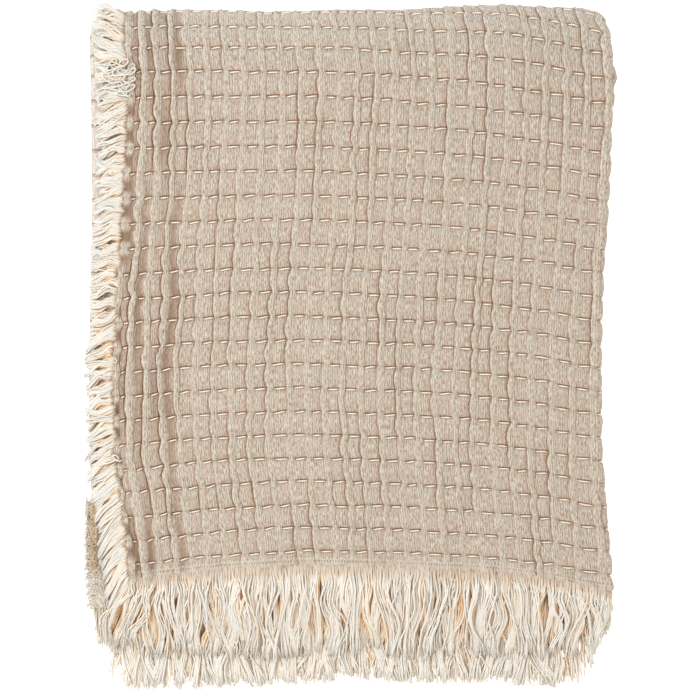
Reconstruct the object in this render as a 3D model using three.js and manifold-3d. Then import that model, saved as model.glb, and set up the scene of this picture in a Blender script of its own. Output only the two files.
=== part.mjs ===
// A kantha throw in quilted cotton gauze, fringed on all four sides and folded in three both ways.
// Millimetres, +Z up. The pile lies on the plane z = 0 with its showing end fringe towards -Y.
//
// The cloth has two flat measures of its own: u runs across it from the side edge that shows, and
// v runs along it from the end that shows. It is folded across first, which makes a strip of three
// layers, and the strip is then folded along its length.
import * as THREE from "three";
import { mergeVertices } from "three/addons/utils/BufferGeometryUtils.js";
import Module from "manifold-3d";

const { lerp, clamp, smoothstep, seededRandom } = THREE.MathUtils;

// Thickness of the cloth, and of the pile that it is folded into
const CLOTH = 4;
const LAYER = 5.5;
const STRIP = 3 * LAYER;
const PILE = 3 * STRIP;
const GAP = 0.3;
const INSIDE_GAP = 0.5;

// The fold across: where the three panels start and turn, and how deep each lies in the strip
const EDGE_X = -188;
const RIGHT_X = 211;
const LEFT_X = -212;
const CLOTH_WIDTH = 1208;
const TOP_PANEL_DEEP = CLOTH / 2;
const MIDDLE_PANEL_DEEP = TOP_PANEL_DEEP + LAYER;
const BOTTOM_PANEL_DEEP = TOP_PANEL_DEEP + 2 * LAYER;
const WIDE_TURN = LAYER;
const TIGHT_TURN = LAYER / 2;

// The fold along: the hem that shows, the sagging turn at the top, the round turn at the bottom
const HEM_Y = -181;
const TOP_Y = 277;
const SAG_REACH = 52;
const SAG_SHOULDER = 22;
const SAG_HIP = 18;
const NOSE = 13;
const NOSE_START = THREE.MathUtils.degToRad(25);
const NOSE_SQUEEZE = 0.73;
const RELAX_REACH = 60;
const BOTTOM_Y = -209.5;
const FREE_END_Y = 136;

// Quilting: rows of running stitch across the cloth, closer together towards the hem
const FIRST_ROW = 14.4;
const ROW_AT_HEM = 18.8;
const ROW_GROWS = 0.042;
const ROWS_THAT_SHOW = 25;
const PUFF = 1;

// Fringes: a backing strip beside the cloth's edge, and locks of thread that hang from it
const BACKING = 4;
const BACKING_THICK = 2.2;
const END_THREADS = 90;
const SIDE_THREADS = 24;
const LOCK_THICK = 1.8;
const TAPER = 0.6;
const ROOTED = 2.2;

// How far the rows lie below a straight line, at the top of the pile and at the hem
const ROW_DROPS = [
  { u: 0, atTop: 0, atHem: 13 },
  { u: 40, atTop: 0, atHem: 8 },
  { u: 85, atTop: 0, atHem: 3.3 },
  { u: 150, atTop: 0, atHem: 0 },
  { u: 220, atTop: 3.3, atHem: 1.6 },
  { u: 287, atTop: 9, atHem: 4.6 },
  { u: 316, atTop: 13, atHem: 7.2 },
  { u: 350, atTop: 18, atHem: 11 },
  { u: 383, atTop: 25, atHem: 17.5 },
  { u: 408, atTop: 28, atHem: 21 },
  { u: 819, atTop: 24, atHem: 24 },
  { u: CLOTH_WIDTH, atTop: 22, atHem: 22 },
];

// How the two long sides of the pile wander in and out, the right one also in the layers below
const SIDES = [
  { y: -215, left: 5, right: 4, rightBelow: 4 },
  { y: -180, left: 4, right: 3, rightBelow: 3 },
  { y: -130, left: -1, right: -1, rightBelow: -1 },
  { y: -85, left: -7, right: -4.5, rightBelow: -4.5 },
  { y: -20, left: -8, right: -5, rightBelow: -5 },
  { y: 60, left: -4, right: -3, rightBelow: -3 },
  { y: 120, left: 0, right: 1, rightBelow: 1 },
  { y: 185, left: 3, right: 3.5, rightBelow: 3.5 },
  { y: 225, left: 4, right: 4, rightBelow: 8.5 },
  { y: 258, left: -1, right: 2, rightBelow: 4 },
  { y: 280, left: -3, right: -11, rightBelow: -11 },
];

// The share of the left side's wandering that the turned edge beyond it doesn't follow
const LEFT_HELD = 0.6;

// How the outline of the top turn rises and falls
const TOP_LINE = [
  { x: -215, rise: -5 },
  { x: -188, rise: -2.5 },
  { x: -60, rise: -0.6 },
  { x: 128, rise: 4 },
  { x: 195, rise: 0 },
  { x: 215, rise: -5 },
];
const TOP_LINE_REACH = 80;

// Creases that run along the cloth through every row
const CREASES = [
  { u: 26, deep: 1.4 },
  { u: 85, deep: 0.8 },
  { u: 287, deep: 0.9 },
  { u: 316, deep: 0.9 },
  { u: 383, deep: 0.8 },
];
const CREASE_HALF_WIDTH = 9;

// Which way the side fringe is combed, as threads moved along the cloth for each millimetre out
const COMBED = [
  { v: 0, lean: 0.9 },
  { v: 90, lean: 0.75 },
  { v: 180, lean: 0.35 },
  { v: 300, lean: 0.1 },
  { v: 400, lean: -0.35 },
  { v: 450, lean: -0.7 },
];

// The value of one column of a table at a place, straight from row to row
function read(table, key, at, column) {
  let row = 0;
  while (row < table.length - 2 && at > table[row + 1][key]) {
    row += 1;
  }
  const from = table[row];
  const to = table[row + 1];
  const share = clamp((at - from[key]) / (to[key] - from[key]), 0, 1);
  return lerp(from[column], to[column], share);
}

// The fold across, as the middle line of the cloth: x, and depth below the strip's outer face
const across = new THREE.Path();
across.moveTo(EDGE_X, TOP_PANEL_DEEP);
across.lineTo(RIGHT_X - WIDE_TURN - CLOTH / 2, TOP_PANEL_DEEP);
across.absarc(
  RIGHT_X - WIDE_TURN - CLOTH / 2,
  MIDDLE_PANEL_DEEP,
  WIDE_TURN,
  -Math.PI / 2,
  Math.PI / 2,
  false,
);
across.absarc(
  LEFT_X + TIGHT_TURN + CLOTH / 2,
  BOTTOM_PANEL_DEEP - TIGHT_TURN,
  TIGHT_TURN,
  Math.PI / 2,
  1.5 * Math.PI,
  false,
);
const TOP_PANEL_END = RIGHT_X - WIDE_TURN - CLOTH / 2 - EDGE_X;
const BOTTOM_PANEL_START = TOP_PANEL_END + Math.PI * WIDE_TURN;
const BOTTOM_PANEL_END = BOTTOM_PANEL_START + (RIGHT_X - WIDE_TURN) - (LEFT_X + TIGHT_TURN) - CLOTH;
const MIDDLE_PANEL_START = BOTTOM_PANEL_END + Math.PI * TIGHT_TURN;
across.lineTo(
  LEFT_X + TIGHT_TURN + CLOTH / 2 + CLOTH_WIDTH - MIDDLE_PANEL_START,
  MIDDLE_PANEL_DEEP,
);

// The fold along, as the outer face of the strip: y and z
const lengthways = new THREE.Path();
const noseStartY = TOP_Y - NOSE + NOSE * Math.cos(NOSE_START);
const noseStartZ = NOSE + NOSE * Math.sin(NOSE_START);
lengthways.moveTo(HEM_Y, PILE);
lengthways.lineTo(TOP_Y - SAG_REACH, PILE);
lengthways.bezierCurveTo(
  TOP_Y - SAG_REACH + SAG_SHOULDER,
  PILE,
  noseStartY - SAG_HIP * Math.sin(NOSE_START),
  noseStartZ + SAG_HIP * Math.cos(NOSE_START),
  noseStartY,
  noseStartZ,
);
lengthways.absarc(TOP_Y - NOSE, NOSE, NOSE, NOSE_START, -Math.PI / 2, true);
lengthways.absarc(BOTTOM_Y + STRIP, STRIP, STRIP, -Math.PI / 2, -1.5 * Math.PI, true);
lengthways.lineTo(FREE_END_Y, 2 * STRIP);
const CLOTH_LENGTH = lengthways.getLength();
const SAG_START = TOP_Y - SAG_REACH - HEM_Y;
const NOSE_TURN = NOSE * (NOSE_START + Math.PI / 2);
const SAG_END = SAG_START + lengthways.curves[1].getLength();
const FLOOR_START = SAG_END + NOSE_TURN;
const FLOOR_END = FLOOR_START + (TOP_Y - NOSE) - (BOTTOM_Y + STRIP);
const UNDER_START = FLOOR_END + Math.PI * STRIP;

// A place on a path by the length run along it, and the direction square to it on its right;
// past either end the path goes straight on
function along(path, run) {
  const whole = path.getLength();
  const share = clamp(run / whole, 0, 1);
  const point = path.getPoint(share);
  const tangent = path.getTangent(share);
  point.addScaledVector(tangent, run - share * whole);
  return { point, square: new THREE.Vector2(tangent.y, -tangent.x) };
}

// How much the strip is pressed thinner where it goes round the top turn
function squeezeAt(run) {
  const pressed = smoothstep(run, SAG_START, SAG_END);
  const relaxed = smoothstep(run, FLOOR_START, FLOOR_START + RELAX_REACH);
  return lerp(1, NOSE_SQUEEZE, pressed - relaxed);
}

// How far a point of the cloth lies below a straight row
function rowDrop(u, v) {
  const toHem = clamp(1 - v / SAG_START, 0, 1);
  return lerp(read(ROW_DROPS, "u", u, "atTop"), read(ROW_DROPS, "u", u, "atHem"), toHem);
}

// The place in the folded pile of a point u across and v along the flat cloth, and n off its middle
function place(u, v, n) {
  const section = along(across, u);
  const x = section.point.x + n * section.square.x;
  const deep = section.point.y + n * section.square.y;
  const run = v - rowDrop(u, v);
  const fold = along(lengthways, run);
  const inward = deep * squeezeAt(run);
  const y = fold.point.x + inward * fold.square.x;
  const z = fold.point.y + inward * fold.square.y;
  const toRight = clamp((x - EDGE_X) / (RIGHT_X - EDGE_X), 0, 1);
  const outside = clamp((EDGE_X - x) / SIDE_THREADS, 0, 1);
  const below = smoothstep(run, FLOOR_START, FLOOR_START + RELAX_REACH);
  const wander = lerp(
    read(SIDES, "y", y, "left") * (1 - LEFT_HELD * outside),
    lerp(read(SIDES, "y", y, "right"), read(SIDES, "y", y, "rightBelow"), below),
    toRight,
  );
  const nearTop = smoothstep(y, TOP_Y - TOP_LINE_REACH, TOP_Y);
  return new THREE.Vector3(x + wander, y + nearTop * read(TOP_LINE, "x", x, "rise"), z);
}

// A closed box of flat cloth, divided at the given places across and along, bent into the pile
function bentSheet(acrossAt, alongAt, thickness, rise = () => 0) {
  const columns = acrossAt.length - 1;
  const rows = alongAt.length - 1;
  const sheet = new THREE.BoxGeometry(1, 1, 1, columns, rows, 1);
  const points = sheet.getAttribute("position");
  for (let i = 0; i < points.count; i += 1) {
    const u = acrossAt[Math.round((points.getX(i) + 0.5) * columns)];
    const v = alongAt[Math.round((points.getY(i) + 0.5) * rows)];
    const face = Math.sign(points.getZ(i));
    const n = (face * thickness) / 2 + (face > 0 ? rise(u, v) : 0);
    const p = place(u, v, n);
    points.setXYZ(i, p.x, p.y, p.z);
  }
  return sheet;
}

// Evenly spaced places from one to another, both included
function evenly(from, to, parts) {
  return Array.from({ length: parts + 1 }, (_, i) => lerp(from, to, i / parts));
}

// Rows of stitch, counted from the hem
function rowAt(k) {
  return FIRST_ROW + ROW_AT_HEM * k + ROW_GROWS * k * k;
}

// The height that quilting and creases give the face that shows: low on a row, high between rows
function quilted(u, v) {
  if (u > BOTTOM_PANEL_START || v > FLOOR_START) {
    return 0;
  }
  let nearest = Infinity;
  for (let k = 0; k < ROWS_THAT_SHOW; k += 1) {
    nearest = Math.min(nearest, Math.abs(v - rowAt(k)));
  }
  const puff = PUFF * smoothstep(nearest, 0, ROW_AT_HEM / 2);
  const crease = CREASES.reduce(
    (sum, c) => sum + c.deep * (1 - smoothstep(Math.abs(u - c.u), 0, CREASE_HALF_WIDTH)),
    0,
  );
  return puff - crease;
}

// Where the cloth is divided across: at its creases, its turns and the bends of its outline
const TIGHT_PARTS = 4;
const panelBends = [0, 12, 40, 150, 220, 350];
const topPanelAt = [...CREASES.map((c) => c.u), ...panelBends].sort((a, b) => a - b);
const lowerBends = TOP_LINE.slice(1, -1).map((row) => row.x).filter((x) => x > EDGE_X);
const bottomPanelAt = lowerBends.map((x) => BOTTOM_PANEL_END - (x - LEFT_X - TIGHT_TURN)).reverse();
const middlePanelAt = lowerBends
  .map((x) => MIDDLE_PANEL_START + (x - LEFT_X - TIGHT_TURN))
  .filter((u) => u < CLOTH_WIDTH - CREASE_HALF_WIDTH);
const clothAcross = [
  ...topPanelAt,
  ...evenly(TOP_PANEL_END, BOTTOM_PANEL_START, TIGHT_PARTS),
  ...bottomPanelAt,
  ...evenly(BOTTOM_PANEL_END, MIDDLE_PANEL_START, TIGHT_PARTS),
  ...middlePanelAt,
  CLOTH_WIDTH,
];

// Where it is divided along: at each row that shows and half way between, then closely round its
// turns, with the rows' drop added, and sparsely where it lies flat
const LEAST_STEP = 4;
const LARGEST_DROP = 28;
const TOP_TURN_PARTS = 8;
const FLOOR_PARTS = 8;
const BOTTOM_TURN_PARTS = 9;
const INNER_PARTS = 4;
const rowPlaces = Array.from({ length: 2 * ROWS_THAT_SHOW }, (_, i) => {
  const k = Math.floor(i / 2);
  return i % 2 === 0 ? rowAt(k) : (rowAt(k) + rowAt(k + 1)) / 2;
}).filter((v) => v < SAG_END - LEAST_STEP);
const clothAlong = [
  0,
  FIRST_ROW / 2,
  ...rowPlaces,
  ...evenly(SAG_END, FLOOR_START + LARGEST_DROP, TOP_TURN_PARTS),
  ...evenly(FLOOR_START + RELAX_REACH, FLOOR_END, FLOOR_PARTS),
  ...evenly(FLOOR_END, UNDER_START + LARGEST_DROP, BOTTOM_TURN_PARTS).slice(1),
  ...evenly(UNDER_START + RELAX_REACH, CLOTH_LENGTH, INNER_PARTS),
];

// A lock of thread with three sides, flat below, that runs through the given places from its root
// and narrows to its tip
function lock(places, rootWidth, tipWidth) {
  const steps = places.length - 1;
  const geometry = new THREE.CylinderGeometry(1, 1, 1, 3, steps);
  const points = geometry.getAttribute("position");
  for (let i = 0; i < points.count; i += 1) {
    const t = 0.5 - points.getY(i);
    const at = Math.round(t * steps);
    const ahead = places[Math.min(at + 1, steps)].clone().sub(places[Math.max(at - 1, 0)]);
    ahead.normalize();
    const side = new THREE.Vector3(0, 0, 1).cross(ahead).normalize();
    const up = ahead.clone().cross(side);
    const sideways = (points.getX(i) / Math.sqrt(3)) * lerp(rootWidth, tipWidth, t);
    const height = ((points.getZ(i) + 0.5) / 1.5) * LOCK_THICK;
    const p = places[at].clone().addScaledVector(side, sideways).addScaledVector(up, height);
    points.setXYZ(i, p.x, p.y, p.z);
  }
  return geometry;
}

const wasm = await Module();
wasm.setup();

// A geometry's closed surface as a solid that can be joined to others
function solid(geometry) {
  const bare = geometry.clone();
  bare.deleteAttribute("normal");
  bare.deleteAttribute("uv");
  const merged = mergeVertices(bare, 1e-3);
  return new wasm.Manifold(
    new wasm.Mesh({
      numProp: 3,
      vertProperties: merged.getAttribute("position").array,
      triVerts: new Uint32Array(merged.index.array),
    }),
  );
}

// One geometry of a backing strip with all its locks
function joined(backing, locks) {
  const whole = locks.reduce((sum, item) => sum.add(solid(item)), solid(backing));
  const mesh = whole.getMesh();
  const geometry = new THREE.BufferGeometry();
  geometry.setAttribute("position", new THREE.BufferAttribute(mesh.vertProperties, 3));
  geometry.setIndex(new THREE.BufferAttribute(mesh.triVerts, 1));
  geometry.computeVertexNormals();
  return geometry;
}

// End fringe that shows: each panel's locks run level past the hem, fall over the bottom turn in
// the steps of one slope, and end on the surface or on the locks below them
const FALL = [
  { y: BOTTOM_Y - 1.5, down: 0 },
  { y: BOTTOM_Y - 11, down: 0.22 },
  { y: BOTTOM_Y - 27, down: 0.74 },
  { y: BOTTOM_Y - 42, down: 1 },
];
const END_LOCKS = [
  { from: 5, to: TOP_PANEL_END - 3, count: 50, width: 5.4, tipZ: 6, tipY: -257 },
  { from: BOTTOM_PANEL_START + 7, to: BOTTOM_PANEL_END - 7, count: 28, width: 10, tipZ: 0, tipY: -277 },
  { from: MIDDLE_PANEL_START + 8, to: CLOTH_WIDTH - 12, count: 14, width: 14, tipZ: 3, tipY: -270 },
];
const TIP_SPREAD = 4;
const TIP_SWAY = 3.5;
const SWAY_SLOWNESS = 31;

function endLock(u, width, tipZ, tipY) {
  const root = place(u, -GAP - BACKING + ROOTED, 0);
  root.z -= LOCK_THICK / 2;
  const tip = new THREE.Vector3(root.x + TIP_SWAY * Math.sin(u / SWAY_SLOWNESS), tipY, tipZ);
  tip.y += TIP_SPREAD * (seededRandom() - seededRandom());
  const onTheWay = FALL.map(({ y, down }) => {
    const x = lerp(root.x, tip.x, (root.y - y) / (root.y - tip.y));
    return new THREE.Vector3(x, y, lerp(root.z, tipZ, down));
  });
  return lock([root, ...onTheWay, tip], width, width * TAPER);
}

function endFringe() {
  const backing = bentSheet(clothAcross, [-GAP - BACKING, -GAP], BACKING_THICK);
  const locks = END_LOCKS.flatMap(({ from, to, count, width, tipZ, tipY }) =>
    evenly(from, to, count - 1).map((u) => endLock(u, width, tipZ, tipY)),
  );
  return joined(backing, locks);
}

// Side fringe that shows: level on top of the pile, flat on the surface below it and level again
// in the strip between
const BOWED = 0.6;
const DROOP = 1;
const SHORTEST = 0.9;
const LONGEST = 1.08;
const SIDE_LOCKS = [
  { from: 7, to: SAG_START + 40, count: 53, width: 5.8 },
  { from: FLOOR_START + 10, to: FLOOR_END - 8, count: 23, width: 12 },
  { from: UNDER_START + 8, to: CLOTH_LENGTH - 8, count: 14, width: 12 },
];

function sideLock(v, width, length) {
  const root = place(-GAP - BACKING + ROOTED, v, 0);
  const lean = v < SAG_END ? read(COMBED, "v", v, "lean") : 0;
  const onSurface = root.z < CLOTH;
  root.z = onSurface ? 0 : root.z - LOCK_THICK / 2;
  const droop = onSurface ? 0 : DROOP;
  const out = length / Math.hypot(1, BOWED * lean);
  const shares = v < SAG_START ? [0, 0.5, 1] : [0, 1];
  const places = shares.map(
    (t) => new THREE.Vector3(root.x - out * t, root.y - lean * out * t * t, root.z - droop * t),
  );
  return lock(places, width, width * TAPER);
}

function sideFringe() {
  const backing = bentSheet([-GAP - BACKING, -GAP], clothAlong, BACKING_THICK);
  const locks = SIDE_LOCKS.flatMap(({ from, to, count, width }) =>
    evenly(from, to, count - 1).map((v) =>
      sideLock(v, width, SIDE_THREADS * lerp(SHORTEST, LONGEST, seededRandom())),
    ),
  );
  return joined(backing, locks);
}

// Fringes folded away inside the pile: plain level locks, bent with the cloth
const INSIDE_LOCK_HALF = 7;
const INSIDE_END_LOCKS = [
  { from: 16, to: TOP_PANEL_END - 14, count: 8 },
  { from: BOTTOM_PANEL_START + 20, to: BOTTOM_PANEL_END - 20, count: 8 },
  { from: MIDDLE_PANEL_START + 20, to: CLOTH_WIDTH - 20, count: 8 },
];
const INSIDE_SIDE_LOCKS = [
  { from: 12, to: SAG_START - 8, count: 10 },
  { from: FLOOR_START + RELAX_REACH + 12, to: FLOOR_END - 12, count: 9 },
  { from: UNDER_START + 12, to: CLOTH_LENGTH - 14, count: 7 },
];

// A lock's two edges beside its root, over the cloth or along it
function beside(root) {
  return [root - INSIDE_LOCK_HALF, root + INSIDE_LOCK_HALF];
}

function insideEndFringe() {
  const beyond = CLOTH_LENGTH + INSIDE_GAP;
  const backing = bentSheet(clothAcross, [beyond, beyond + BACKING], BACKING_THICK);
  const reach = [beyond + BACKING - ROOTED, beyond + END_THREADS];
  const locks = INSIDE_END_LOCKS.flatMap(({ from, to, count }) =>
    evenly(from, to, count - 1).map((u) => bentSheet(beside(u), reach, LOCK_THICK)),
  );
  return joined(backing, locks);
}

function insideSideFringe() {
  const beyond = CLOTH_WIDTH + INSIDE_GAP;
  const backing = bentSheet([beyond, beyond + BACKING], clothAlong, BACKING_THICK);
  const reach = [beyond + BACKING - ROOTED, beyond + SIDE_THREADS];
  const locks = INSIDE_SIDE_LOCKS.flatMap(({ from, to, count }) =>
    evenly(from, to, count - 1).map((v) => bentSheet(reach, beside(v), LOCK_THICK)),
  );
  return joined(backing, locks);
}

// Colours and finish: a matt beige gauze and an undyed cotton yarn
const gauze = { color: 0xc9b89f, roughness: 0.95, metalness: 0 };
const undyed = { color: 0xe6dccb, roughness: 0.9, metalness: 0 };

function piece(name, geometry, finish) {
  const mesh = new THREE.Mesh(geometry, new THREE.MeshStandardMaterial(finish));
  mesh.name = name;
  return mesh;
}

const throwPile = new THREE.Group();
throwPile.add(
  piece("cloth", bentSheet(clothAcross, clothAlong, CLOTH, quilted), gauze),
  piece("end_fringe", endFringe(), undyed),
  piece("side_fringe", sideFringe(), undyed),
  piece("inside_end_fringe", insideEndFringe(), undyed),
  piece("inside_side_fringe", insideSideFringe(), undyed),
);

// The origin lies under the middle of the pile's outline
const middle = new THREE.Box3().setFromObject(throwPile).getCenter(new THREE.Vector3());
throwPile.position.set(-middle.x, -middle.y, 0);

export default throwPile;
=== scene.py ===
"""A kantha throw in quilted cotton gauze, fringed on all four sides and folded in three both ways."""
import math

import bmesh
import bpy
import numpy as np
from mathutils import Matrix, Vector


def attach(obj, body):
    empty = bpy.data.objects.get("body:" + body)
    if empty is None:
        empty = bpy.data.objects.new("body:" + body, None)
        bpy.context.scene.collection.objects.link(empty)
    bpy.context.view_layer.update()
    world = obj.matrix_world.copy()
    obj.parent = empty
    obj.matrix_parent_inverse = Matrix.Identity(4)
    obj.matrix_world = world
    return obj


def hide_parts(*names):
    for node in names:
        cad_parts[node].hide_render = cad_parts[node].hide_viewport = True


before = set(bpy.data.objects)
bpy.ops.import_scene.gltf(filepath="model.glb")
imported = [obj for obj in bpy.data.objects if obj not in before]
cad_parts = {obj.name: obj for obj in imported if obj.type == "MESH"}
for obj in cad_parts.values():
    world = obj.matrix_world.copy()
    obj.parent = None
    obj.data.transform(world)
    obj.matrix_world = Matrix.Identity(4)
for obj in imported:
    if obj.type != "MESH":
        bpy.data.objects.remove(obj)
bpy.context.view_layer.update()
MM = 0.001

# The fold, in millimetres, with the part's own sizes: u runs across the flat cloth from the side
# edge that shows, v along it from the end that shows.
CLOTH = 4.0
LAYER = 5.5
STRIP = 3 * LAYER
PILE = 3 * STRIP
EDGE_X, RIGHT_X, LEFT_X = -188.0, 211.0, -212.0
CLOTH_WIDTH = 1208.0
WIDE_TURN, TIGHT_TURN = LAYER, LAYER / 2
TOP_DEEP, MIDDLE_DEEP, BOTTOM_DEEP = 2.0, 7.5, 13.0
HEM_Y, TOP_Y, BOTTOM_Y, FREE_END_Y = -181.0, 277.0, -209.5, 136.0
SAG_REACH, SAG_SHOULDER, SAG_HIP = 52.0, 22.0, 18.0
NOSE, NOSE_START, NOSE_SQUEEZE, RELAX_REACH = 13.0, 25.0, 0.73, 60.0
SIDE_THREADS, END_THREADS = 24.0, 90.0
LEFT_HELD, TOP_LINE_REACH = 0.6, 80.0
FIRST_ROW, ROW_AT_HEM, ROW_GROWS = 14.4, 18.8, 0.042
# the pile's outline is centred on the origin
SHIFT_X, SHIFT_Y = 3.085, -0.217

# u, and how far the rows lie below a straight line at the top of the pile and at the hem
ROW_DROPS = np.array([
    (0, 0, 13), (40, 0, 8), (85, 0, 3.3), (150, 0, 0), (220, 3.3, 1.6), (287, 9, 4.6),
    (316, 13, 7.2), (350, 18, 11), (383, 25, 17.5), (408, 28, 21), (819, 24, 24), (1208, 22, 22),
], float)
# y, how far the left side, the right side and the right side below wander, and how far the folds
# under the side fringe lie out
SIDES = np.array([
    (-215, 5, 4, 4, 0), (-180, 4, 3, 3, 0), (-130, -1, -1, -1, 0), (-85, -7, -4.5, -4.5, 0),
    (-20, -8, -5, -5, 0), (60, -4, -3, -3, 0), (120, 0, 1, 1, 0.5), (185, 3, 3.5, 3.5, 2.5),
    (225, 4, 4, 8.5, 3.5), (258, 0, 3, 6, 3), (280, 1, -4, -6, 0),
], float)
# x, and the rise of the top turn's outline
TOP_LINE = np.array([
    (-215, -4), (-188, -0.5), (-150, 1.5), (-60, -0.2), (40, 1), (128, 6), (195, 2.5), (215, -3),
], float)

# u of each column of stitches on the top panel, counted from the side fringe
COLUMNS = np.array([
    9.5, 21, 34, 47, 61, 76.4, 89.4, 105.6, 121, 136.5, 152, 167.4, 182.8, 198.2, 213, 229.3,
    243, 259.5, 276.8, 291.3, 306.8, 322.4, 338, 354.2, 370.6, 387, 402.6,
])
PITCH = 15.7
COLUMN_LEAN = 6.0


def ease(t):
    """A smooth step from 0 to 1."""
    t = np.clip(t, 0.0, 1.0)
    return t * t * (3 - 2 * t)


def column(table, at, number):
    """A column of a table, read between its rows."""
    return np.interp(at, table[:, 0], table[:, number])


def arc(x, y, radius, start, turn):
    """Points round a circle, from an angle in degrees through a turn."""
    a = np.radians(start + turn * np.linspace(0, 1, 40))
    return np.column_stack([x + radius * np.cos(a), y + radius * np.sin(a)])


class Fold:
    """A flat path by the length run along it, with the direction square to it on its right."""

    def __init__(self, points, before=200.0, after=200.0):
        points = np.array(points, float)
        keep = np.r_[True, np.hypot(*np.diff(points, axis=0).T) > 1e-6]
        points = points[keep]
        first = points[0] - before * self.unit(points[1] - points[0])
        last = points[-1] + after * self.unit(points[-1] - points[-2])
        points = np.vstack([first, points, last])
        run = np.r_[0, np.cumsum(np.hypot(*np.diff(points, axis=0).T))] - before
        self.length = run[-1] - after
        self.run = np.arange(run[0], run[-1], 0.4)
        self.point = np.column_stack([np.interp(self.run, run, points[:, i]) for i in (0, 1)])
        ahead = np.gradient(self.point, axis=0)
        ahead /= np.hypot(*ahead.T)[:, None]
        self.square = np.column_stack([ahead[:, 1], -ahead[:, 0]])

    @staticmethod
    def unit(way):
        return way / np.hypot(*way)

    def at(self, run):
        return [
            np.interp(run, self.run, values[:, i])
            for values in (self.point, self.square) for i in (0, 1)
        ]


TURN_X = RIGHT_X - WIDE_TURN - CLOTH / 2
BACK_X = LEFT_X + TIGHT_TURN + CLOTH / 2
PANEL_END = TURN_X - EDGE_X
LOWER_START = PANEL_END + math.pi * WIDE_TURN
LOWER_END = LOWER_START + TURN_X - BACK_X
INNER_START = LOWER_END + math.pi * TIGHT_TURN
across_fold = Fold(np.vstack([
    [(EDGE_X, TOP_DEEP)],
    arc(TURN_X, MIDDLE_DEEP, WIDE_TURN, -90, 180),
    arc(BACK_X, BOTTOM_DEEP - TIGHT_TURN, TIGHT_TURN, 90, 180),
    [(BACK_X + CLOTH_WIDTH - INNER_START, MIDDLE_DEEP)],
]))


def sag():
    """The curve in which the top panel sinks to the top turn."""
    a = math.radians(NOSE_START)
    end = np.array([TOP_Y - NOSE + NOSE * math.cos(a), NOSE + NOSE * math.sin(a)])
    ends = [
        np.array([TOP_Y - SAG_REACH, PILE]), np.array([TOP_Y - SAG_REACH + SAG_SHOULDER, PILE]),
        end + SAG_HIP * np.array([-math.sin(a), math.cos(a)]), end,
    ]
    t = np.linspace(0, 1, 80)[:, None]
    shares = [(1 - t) ** 3, 3 * t * (1 - t) ** 2, 3 * t * t * (1 - t), t ** 3]
    return sum(share * end for share, end in zip(shares, ends))


along_fold = Fold(np.vstack([
    [(HEM_Y, PILE)],
    sag(),
    arc(TOP_Y - NOSE, NOSE, NOSE, NOSE_START, -NOSE_START - 90),
    arc(BOTTOM_Y + STRIP, STRIP, STRIP, -90, -180),
    [(FREE_END_Y, 2 * STRIP)],
]))
CLOTH_LENGTH = along_fold.length
SAG_START = TOP_Y - SAG_REACH - HEM_Y
SAG_END = SAG_START + float(np.hypot(*np.diff(sag(), axis=0).T).sum())
FLOOR_START = SAG_END + NOSE * math.radians(NOSE_START + 90)
FLOOR_END = FLOOR_START + (TOP_Y - NOSE) - (BOTTOM_Y + STRIP)
UNDER_START = FLOOR_END + math.pi * STRIP


def place(u, v, n):
    """Where points of the flat cloth lie in the folded pile, n off the cloth's middle."""
    u, v, n = (np.asarray(a, float) for a in (u, v, n))
    x, deep, square_x, square_deep = across_fold.at(u)
    x = x + n * square_x
    deep = deep + n * square_deep
    to_hem = np.clip(1 - v / SAG_START, 0, 1)
    drop = (1 - to_hem) * column(ROW_DROPS, u, 1) + to_hem * column(ROW_DROPS, u, 2)
    run = v - drop
    fold_y, fold_z, square_y, square_z = along_fold.at(run)
    pressed = ease((run - SAG_START) / (SAG_END - SAG_START))
    below = ease((run - FLOOR_START) / RELAX_REACH)
    inward = deep * (1 + (NOSE_SQUEEZE - 1) * (pressed - below))
    y = fold_y + inward * square_y
    z = fold_z + inward * square_z
    to_right = np.clip((x - EDGE_X) / (RIGHT_X - EDGE_X), 0, 1)
    outside = np.clip((EDGE_X - x) / SIDE_THREADS, 0, 1)
    left = column(SIDES, y, 1) * (1 - LEFT_HELD * outside) - column(SIDES, y, 4) * outside
    right = (1 - below) * column(SIDES, y, 2) + below * column(SIDES, y, 3)
    near_top = ease((y - TOP_Y + TOP_LINE_REACH) / TOP_LINE_REACH)
    rise = near_top * column(TOP_LINE, x, 1)
    return np.stack([
        x + left + to_right * (right - left) + SHIFT_X, y + rise + SHIFT_Y, z,
    ], axis=-1)


# Quilting. s counts the columns of stitches and r the rows, whole numbers on the stitches' middles;
# the edge that shows is at s = -1.
LAST_COLUMN = len(COLUMNS) - 1
S_KNOTS = np.r_[-1, np.arange(len(COLUMNS)), LAST_COLUMN + (CLOTH_WIDTH - COLUMNS[-1]) / PITCH]
U_KNOTS = np.r_[0, COLUMNS, CLOTH_WIDTH]
SHOWN_ROWS = 26
PANEL_HALF = 0.31
# the pitch of the small holes along the hem, their distance from it and the pitch of the ribs along
# the cloth, in metres
HOLE_PITCH, HOLE_LINE = 0.0023, 0.0064
RIB_PITCH = 0.00185
# how far the panels swell, how deep the slots of the stitches, the valleys down the crowded columns
# and the dimples of the plain band are, and how high the pleats at the hem stand
SWELL, SLOT_DEPTH, VALLEY_DEPTH, DIMPLE_DEPTH, PLEAT_HEIGHT = 1.9, 1.1, 1.25, 3.6, 1.2
# how far the pleats reach from the hem, and how far along the cloth the columns lean
PLEAT_REACH, LEAN_REACH = 16.0, 430.0


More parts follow.
